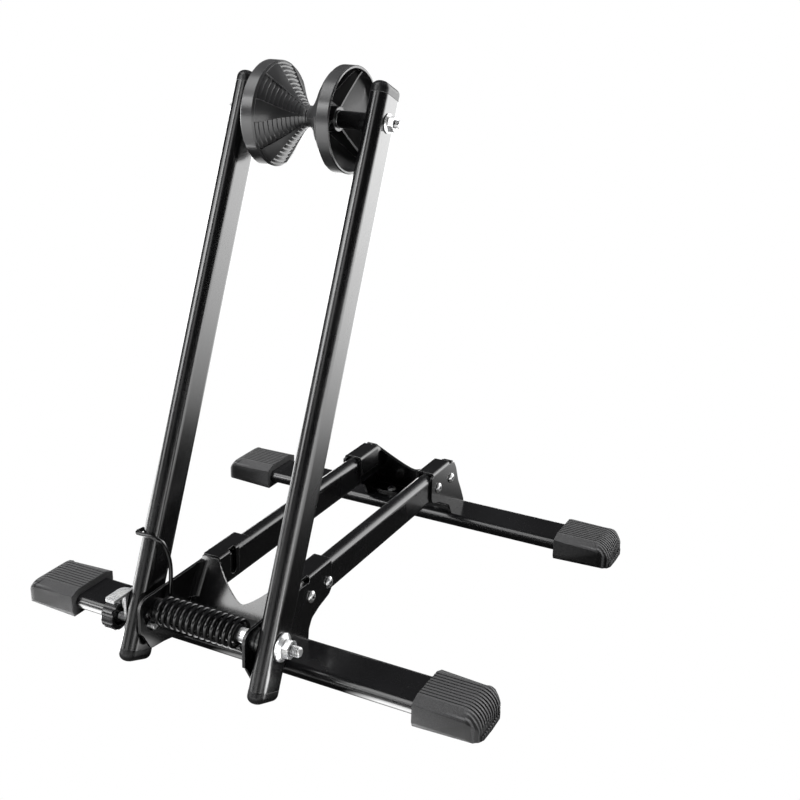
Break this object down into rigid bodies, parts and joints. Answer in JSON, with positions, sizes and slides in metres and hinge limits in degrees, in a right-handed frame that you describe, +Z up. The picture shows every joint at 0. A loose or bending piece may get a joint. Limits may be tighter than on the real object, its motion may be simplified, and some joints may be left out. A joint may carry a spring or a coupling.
{
  "type": "floor bicycle rack",
  "caption": "Black floor stand that holds a bicycle by its front wheel, with a sprung leaning frame, grooved rollers at the top and rubber feet.",
  "frame": {"origin": "on the floor, below the middle of the part's box", "axes": "+X along the cross bars, +Y along the rails from the sprung uprights to the rear bar, +Z up from the floor"},
  "size_m": [0.41, 0.398, 0.4386],
  "materials": {
    "gloss_black_steel": "gloss",
    "rubber": "matte",
    "zinc_steel": "satin",
    "black_plastic": "satin",
    "roller_plastic": "satin",
    "knob_plastic": "gloss",
    "spring_steel": "gloss"
  },
  "bodies": {
    "base": {"front_bar": "gloss_black_steel", "rear_bar": "gloss_black_steel", "left_rail": "gloss_black_steel", "right_rail": "gloss_black_steel", "front_bracket": "gloss_black_steel", "rear_bracket": "gloss_black_steel", "front_left_foot": "rubber", "front_right_foot": "rubber", "rear_left_foot": "rubber", "rear_right_foot": "rubber", "front_bracket_screws": "zinc_steel", "rear_bracket_screws": "zinc_steel", "rail_inserts": "zinc_steel", "bar_screws": "zinc_steel", "pivot_bolt": "zinc_steel", "pivot_nut": "zinc_steel", "pivot_washers": "zinc_steel", "pivot_sleeve": "zinc_steel", "spring_bush": "black_plastic", "torsion_spring": "spring_steel"},
    "swing_frame": {"left_upright": "gloss_black_steel", "right_upright": "gloss_black_steel", "upright_bushes": "zinc_steel", "left_top_cap": "black_plastic", "right_top_cap": "black_plastic", "left_bottom_cap": "black_plastic", "right_bottom_cap": "black_plastic", "top_bolt": "zinc_steel", "top_nut": "zinc_steel", "top_washer": "zinc_steel", "roller_spacers": "black_plastic", "lock_bracket": "zinc_steel"},
    "left_roller": {"left_roller": "roller_plastic", "left_roller_bush": "zinc_steel"},
    "right_roller": {"right_roller": "roller_plastic", "right_roller_bush": "zinc_steel"},
    "lock_knob": {"lock_knob": "knob_plastic", "knob_stud": "zinc_steel"}
  },
  "joints": [
    {"name": "swing", "type": "hinge", "parent": "base", "child": "swing_frame", "pos_m": [0, -0.17087, 0.053], "axis": [-1, 0, 0], "range_deg": [-45, 64], "stiffness_Nm_per_rad": 4, "springref_deg": -10.54, "deforming": ["torsion_spring"]},
    {"name": "left_roller_spin", "type": "hinge", "parent": "swing_frame", "child": "left_roller", "pos_m": [0, -0.02558, 0.40034], "axis": [1, 0, 0], "continuous": true},
    {"name": "right_roller_spin", "type": "hinge", "parent": "swing_frame", "child": "right_roller", "pos_m": [0, -0.02558, 0.40034], "axis": [1, 0, 0], "continuous": true},
    {"name": "knob_turn", "type": "hinge", "parent": "swing_frame", "child": "lock_knob", "pos_m": [-0.0602, -0.17589, 0.04101], "axis": [1, 0, 0], "continuous": true}
  ]
}
